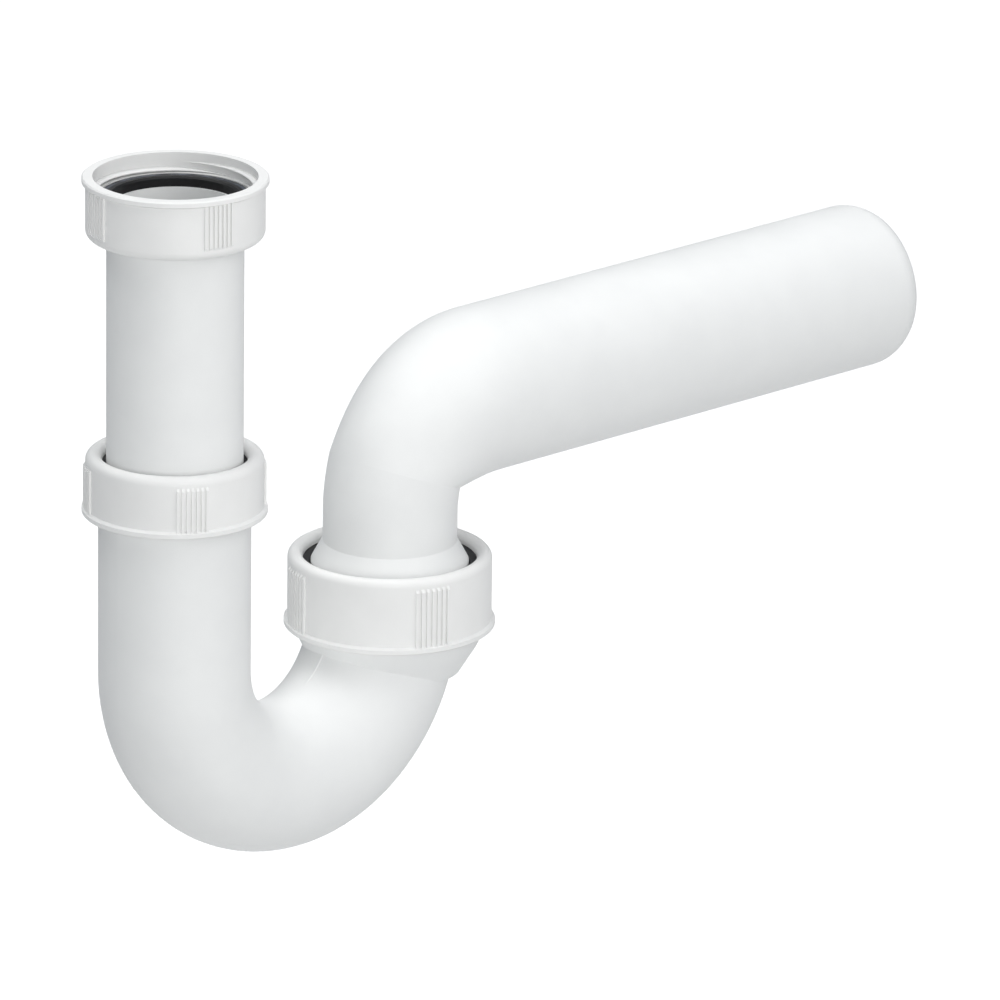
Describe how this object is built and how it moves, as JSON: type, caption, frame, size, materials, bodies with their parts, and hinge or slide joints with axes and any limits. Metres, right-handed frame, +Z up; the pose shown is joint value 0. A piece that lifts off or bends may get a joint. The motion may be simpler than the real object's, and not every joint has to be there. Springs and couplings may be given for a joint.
{
  "type": "tubular trap",
  "caption": "White plastic tubular P-trap: inlet tube with union nut, U bend that holds a water seal, slip-joint nuts and an elbow with a horizontal pipe to the wall.",
  "frame": {"origin": "on the inlet axis at the gasket's sealing face, where the trap meets the waste above", "axes": "+Z up along the inlet tube, +X from the inlet towards the wall outlet, +Y to the side"},
  "size_m": [0.3089, 0.0628, 0.2146],
  "materials": {
    "white_plastic": "moulded, slightly glossy off-white",
    "black_rubber": "matt black rubber"
  },
  "bodies": {
    "inlet": {"inlet_tube": "white_plastic", "inlet_gasket": "black_rubber"},
    "inlet_nut": {"inlet_nut": "white_plastic"},
    "slip_seal": {"slip_seal": "black_rubber"},
    "bend": {"trap_bend": "white_plastic", "outlet_seal": "black_rubber"},
    "slip_nut": {"slip_nut": "white_plastic"},
    "outlet_nut": {"outlet_nut": "white_plastic"},
    "outlet_elbow": {"outlet_elbow": "white_plastic"}
  },
  "joints": [
    {"name": "inlet_nut_turn", "type": "hinge", "parent": "inlet", "child": "inlet_nut", "pos_m": [0, 0, 0], "axis": [0, 0, 1], "continuous": true},
    {"name": "height_slide", "type": "slide", "parent": "inlet", "child": "slip_seal", "axis": [0, 0, 1], "range_m": [-0.025, 0.018]},
    {"name": "bend_swivel", "type": "hinge", "parent": "slip_seal", "child": "bend", "pos_m": [0, 0, -0.088], "axis": [0, 0, 1], "continuous": true},
    {"name": "slip_nut_turn", "type": "hinge", "parent": "bend", "child": "slip_nut", "pos_m": [0, 0, -0.086], "axis": [0, 0, 1], "range_deg": [0, 720]},
    {"name": "outlet_nut_turn", "type": "hinge", "parent": "bend", "child": "outlet_nut", "pos_m": [0.08549, 0, -0.138], "axis": [0, 0, 1], "range_deg": [0, 720]},
    {"name": "outlet_swivel", "type": "hinge", "parent": "bend", "child": "outlet_elbow", "pos_m": [0.08549, 0, -0.134], "axis": [0, 0, 1], "range_deg": [-140, 140]}
  ]
}
